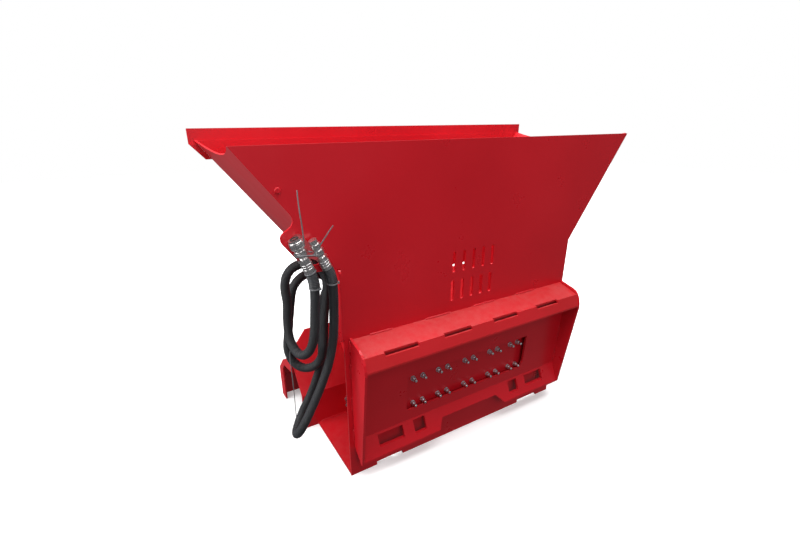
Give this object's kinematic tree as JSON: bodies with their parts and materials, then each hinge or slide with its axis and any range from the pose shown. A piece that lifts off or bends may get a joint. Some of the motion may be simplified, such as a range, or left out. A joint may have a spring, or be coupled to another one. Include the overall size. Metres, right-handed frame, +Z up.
{
  "type": "loader rotor feed hopper bucket",
  "caption": "Flared hopper bucket for a skid-steer loader, with a quick-attach frame, a motor-driven paddle rotor over fixed knives, and hanging hydraulic hoses.",
  "frame": {"origin": "middle of the footprint of the bounding box without hoses, on the ground plane", "axes": "+X along the hopper away from the hose end, +Y from the loader side towards the far edge, +Z up"},
  "size_m": [1.881, 0.85, 1.383],
  "materials": {
    "red_coat": "glossy powder coat",
    "zinc_hardware": "zinc plated",
    "knife_steel": "hardened, worn",
    "rotor_coat": "satin, worn at the paddle tips",
    "ground_steel": "ground",
    "cast_housing": "painted casting",
    "motor_coat": "satin black",
    "hose_sleeve": "woven textile sleeve over rubber hose",
    "bright_fitting": "nickel plated"
  },
  "bodies": {
    "chassis": {"back_plate": "red_coat", "front_plate": "red_coat", "cutting_edge": "red_coat", "edge_gusset_left": "red_coat", "edge_gusset_right": "red_coat", "end_sheet_left": "red_coat", "end_sheet_right": "red_coat", "drive_bulkhead": "red_coat", "bearing_end_plate": "red_coat", "trough_floor": "red_coat", "trough_wall": "red_coat", "slope_sheet": "red_coat", "rear_skirt": "red_coat", "skirt_end_left": "red_coat", "skirt_end_right": "red_coat", "hose_guard": "red_coat", "qa_top_plate": "red_coat", "qa_upper_lip": "red_coat", "qa_main_plate": "red_coat", "qa_lower_lip": "red_coat", "qa_side_left": "red_coat", "qa_side_right": "red_coat", "fixed_knives": "knife_steel", "knife_bolts": "zinc_hardware", "knife_washers": "zinc_hardware", "knife_nuts": "zinc_hardware", "corner_screw": "red_coat", "bearing_housing": "cast_housing", "bearing_bolts": "zinc_hardware", "motor_body": "motor_coat", "motor_end_cover": "motor_coat", "motor_cover_screws": "zinc_hardware", "motor_bolts": "zinc_hardware", "fitting_pressure": "bright_fitting", "fitting_return": "bright_fitting", "hose_pressure": "hose_sleeve", "hose_return": "hose_sleeve", "ferrule_pressure": "bright_fitting", "ferrule_return": "bright_fitting", "coupler_female": "bright_fitting", "coupler_male": "bright_fitting"},
    "rotor": {"rotor_tube": "rotor_coat", "rotor_hub_left": "rotor_coat", "rotor_hub_right": "rotor_coat", "rotor_stub_shaft": "ground_steel", "rotor_paddles": "rotor_coat", "bearing_insert": "ground_steel", "motor_shaft": "ground_steel"},
    "sleeve": {"coupler_sleeve": "bright_fitting"}
  },
  "joints": [
    {"name": "rotor_spin", "type": "hinge", "parent": "chassis", "child": "rotor", "pos_m": [0.0475, -0.104, 0.2], "axis": [1, 0, 0], "continuous": true},
    {"name": "sleeve_slide", "type": "slide", "parent": "chassis", "child": "sleeve", "axis": [0.3482, 0, -0.9374], "range_m": [0, 0.006], "stiffness_N_per_m": 1500, "springref_m": -0.002}
  ]
}
